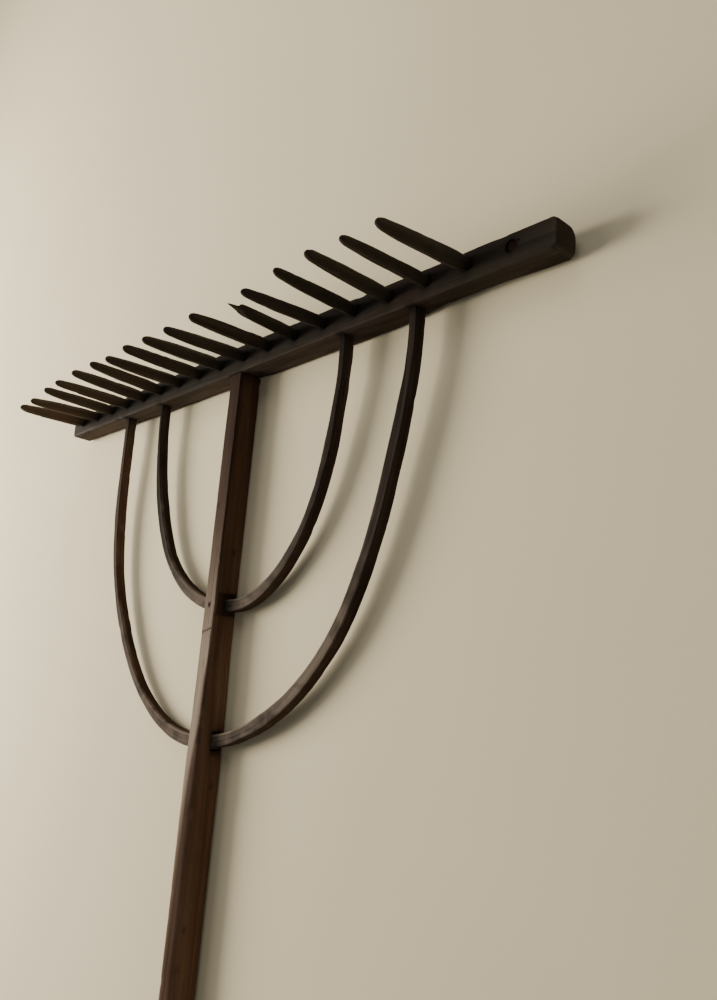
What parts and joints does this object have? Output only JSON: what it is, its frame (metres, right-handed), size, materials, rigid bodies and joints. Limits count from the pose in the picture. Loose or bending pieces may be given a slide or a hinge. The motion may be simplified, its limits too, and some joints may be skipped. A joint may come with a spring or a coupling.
{
  "type": "wooden hand rake",
  "caption": "Long straight wooden rake: a toothed bar braced to its handle by bent bows, one tooth broken off short and one splintered.",
  "frame": {"origin": "middle of the rake's outline, on the plane that the back of the handle lies on", "axes": "+X along the head to the right as the picture shows it, +Y along the handle towards the head, +Z the way the teeth point"},
  "size_m": [1.009, 1.83, 0.1498],
  "materials": {
    "head_wood": "bare, weathered nearly black, worn edges",
    "tooth_wood": "whittled, weathered nearly black",
    "handle_wood": "bare, brown with a greyed front face",
    "bow_wood": "split and bent, grey-brown",
    "stub_wood": "broken end grain, reddish brown",
    "nail_iron": "dark rusted iron"
  },
  "bodies": {
    "root": {"head_bar": "head_wood", "handle": "handle_wood", "inner_bow": "bow_wood", "outer_bow": "bow_wood", "tooth_01": "tooth_wood", "tooth_02": "tooth_wood", "tooth_03": "tooth_wood", "tooth_04": "tooth_wood", "tooth_05": "tooth_wood", "tooth_06": "tooth_wood", "tooth_07": "tooth_wood", "tooth_08": "tooth_wood", "tooth_09": "tooth_wood", "tooth_10": "tooth_wood", "tooth_11": "tooth_wood", "tooth_12": "tooth_wood", "tooth_13": "tooth_wood", "tooth_14": "tooth_wood", "tooth_15": "tooth_wood", "tooth_16": "tooth_wood", "tooth_17": "tooth_wood", "tooth_stub": "stub_wood", "tenon_wedge": "bow_wood", "bow_nail": "nail_iron", "stub_nail": "nail_iron"}
  },
  "joints": []
}
